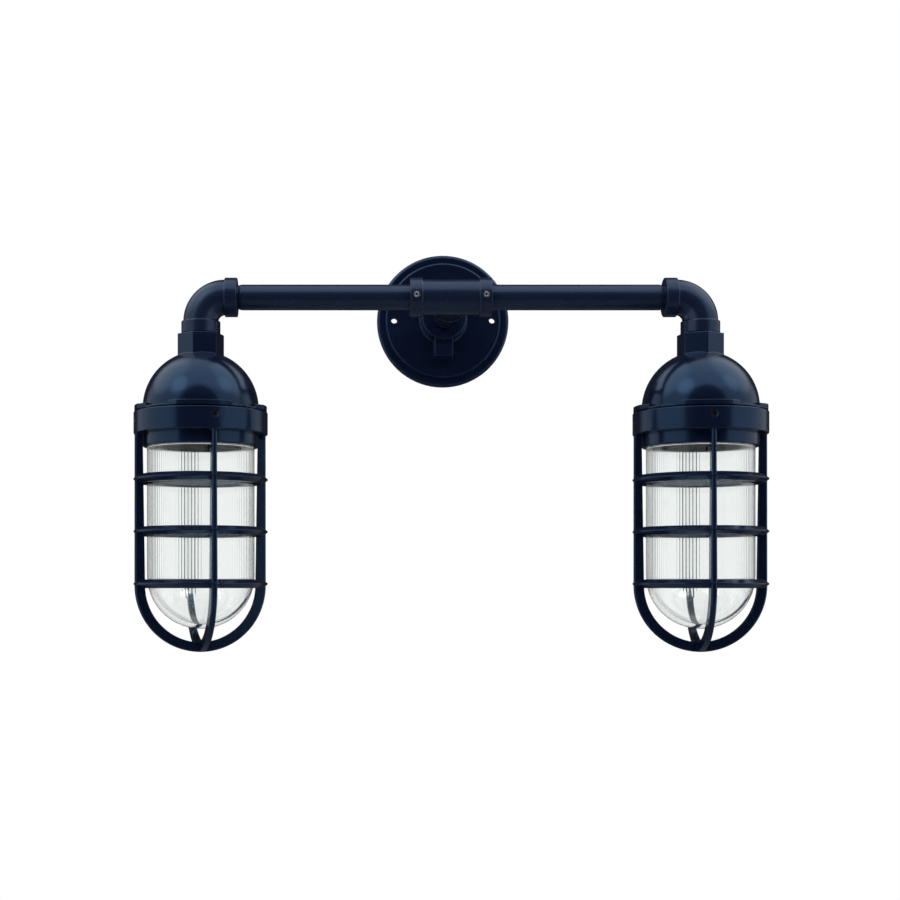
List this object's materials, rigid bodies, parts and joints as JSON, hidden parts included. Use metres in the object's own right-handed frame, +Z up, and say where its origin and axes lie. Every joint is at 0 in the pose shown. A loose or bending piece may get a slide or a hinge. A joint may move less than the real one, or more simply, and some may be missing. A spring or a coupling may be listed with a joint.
{
  "type": "industrial wall sconce",
  "caption": "Pipe wall sconce: a round cast plate and tee carry arms with elbows, each with a hanging domed lamp head, a cast guard and a clear glass globe.",
  "frame": {"origin": "middle of the wall plate's back face, between the two wall holes", "axes": "+Z up, +X along the arms to the viewer's right, +Y into the wall"},
  "size_m": [0.5298, 0.1759, 0.3567],
  "materials": {
    "navy_casting": "gloss",
    "navy_pipe": "gloss",
    "clear_glass": "polished",
    "porcelain": "gloss",
    "brass": "satin",
    "zinc_steel": "satin",
    "screw_steel": "satin",
    "green_steel": "satin",
    "gasket_rubber": "matte",
    "lead_insulation": "satin"
  },
  "bodies": {
    "wall_mount": {"wall_plate": "navy_casting", "hub_set_screw": "screw_steel", "earth_screw": "green_steel"},
    "cross_arm": {"stem_nipple": "navy_pipe", "tee": "navy_casting", "tee_set_screws": "screw_steel", "supply_leads": "lead_insulation"},
    "left_cage": {"left_guard": "navy_casting", "left_guard_set_screws": "screw_steel"},
    "left_jar": {"left_globe": "clear_glass"},
    "left_lamp": {"left_arm_pipe": "navy_pipe", "left_elbow": "navy_casting", "left_close_nipple": "navy_pipe", "left_arm_leads": "lead_insulation", "left_housing": "navy_casting", "left_lampholder_strap": "zinc_steel", "left_strap_screws": "zinc_steel", "left_lampholder": "porcelain", "left_holder_screws": "zinc_steel", "left_screw_shell": "brass", "left_centre_contact": "brass", "left_globe_gasket": "gasket_rubber"},
    "right_cage": {"right_guard": "navy_casting", "right_guard_set_screws": "screw_steel"},
    "right_jar": {"right_globe": "clear_glass"},
    "right_lamp": {"right_arm_pipe": "navy_pipe", "right_elbow": "navy_casting", "right_close_nipple": "navy_pipe", "right_arm_leads": "lead_insulation", "right_housing": "navy_casting", "right_lampholder_strap": "zinc_steel", "right_strap_screws": "zinc_steel", "right_lampholder": "porcelain", "right_holder_screws": "zinc_steel", "right_screw_shell": "brass", "right_centre_contact": "brass", "right_globe_gasket": "gasket_rubber"}
  },
  "joints": [
    {"name": "stem_level", "type": "hinge", "parent": "wall_mount", "child": "cross_arm", "pos_m": [0, 0, 0], "axis": [0, 1, 0], "range_deg": [-10, 10]},
    {"name": "left_arm_swivel", "type": "hinge", "parent": "cross_arm", "child": "left_lamp", "pos_m": [0, -0.12, 0], "axis": [-1, 0, 0], "range_deg": [-12, 90]},
    {"name": "left_guard_drop", "type": "slide", "parent": "left_lamp", "child": "left_cage", "axis": [0, 0, -1], "range_m": [0, 0.19]},
    {"name": "left_globe_unscrew", "type": "hinge", "parent": "left_lamp", "child": "left_jar", "pos_m": [-0.209, -0.12, -0.2], "axis": [0, 0, -1], "range_deg": [0, 450]},
    {"name": "right_arm_swivel", "type": "hinge", "parent": "cross_arm", "child": "right_lamp", "pos_m": [0, -0.12, 0], "axis": [-1, 0, 0], "range_deg": [-12, 90]},
    {"name": "right_guard_drop", "type": "slide", "parent": "right_lamp", "child": "right_cage", "axis": [0, 0, -1], "range_m": [0, 0.19]},
    {"name": "right_globe_unscrew", "type": "hinge", "parent": "right_lamp", "child": "right_jar", "pos_m": [0.209, -0.12, -0.2], "axis": [0, 0, -1], "range_deg": [0, 450]}
  ]
}
